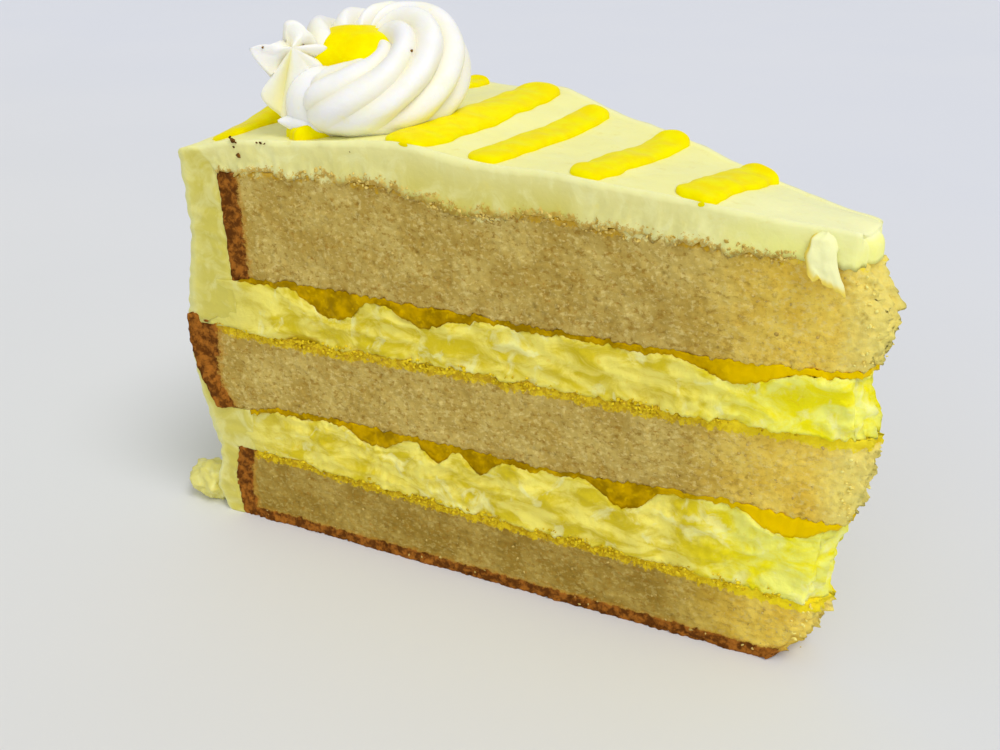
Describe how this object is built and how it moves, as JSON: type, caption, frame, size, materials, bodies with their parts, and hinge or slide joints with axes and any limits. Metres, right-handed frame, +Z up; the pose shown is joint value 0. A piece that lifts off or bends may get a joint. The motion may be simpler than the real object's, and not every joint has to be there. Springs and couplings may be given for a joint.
{
  "type": "limoncello cake slice",
  "caption": "Wedge of iced lemon layer cake with cream and curd fillings, curd stripes on top and a piped rosette near the outer wall.",
  "frame": {"origin": "centre of the slice's bounding box, on the surface that it rests on", "axes": "+X from the iced outer wall to the tip, +Z up, -Y towards the cut side that the picture shows"},
  "size_m": [0.1291, 0.0692, 0.097],
  "materials": {
    "sponge": "fine open crumb, matt, with a browned crust at the back and underneath",
    "lemon_cream": "torn whipped cream, satin",
    "lemon_curd": "wet, glossy, translucent",
    "icing": "smooth spread cream icing, satin",
    "white_cream": "piped white cream, satin"
  },
  "bodies": {
    "root": {"sponge_bottom": "sponge", "cream_lower": "lemon_cream", "curd_lower": "lemon_curd", "sponge_middle": "sponge", "cream_upper": "lemon_cream", "curd_upper": "lemon_curd", "sponge_top": "sponge", "icing": "icing", "rosette": "white_cream", "curd_dollop": "lemon_curd"}
  },
  "joints": []
}
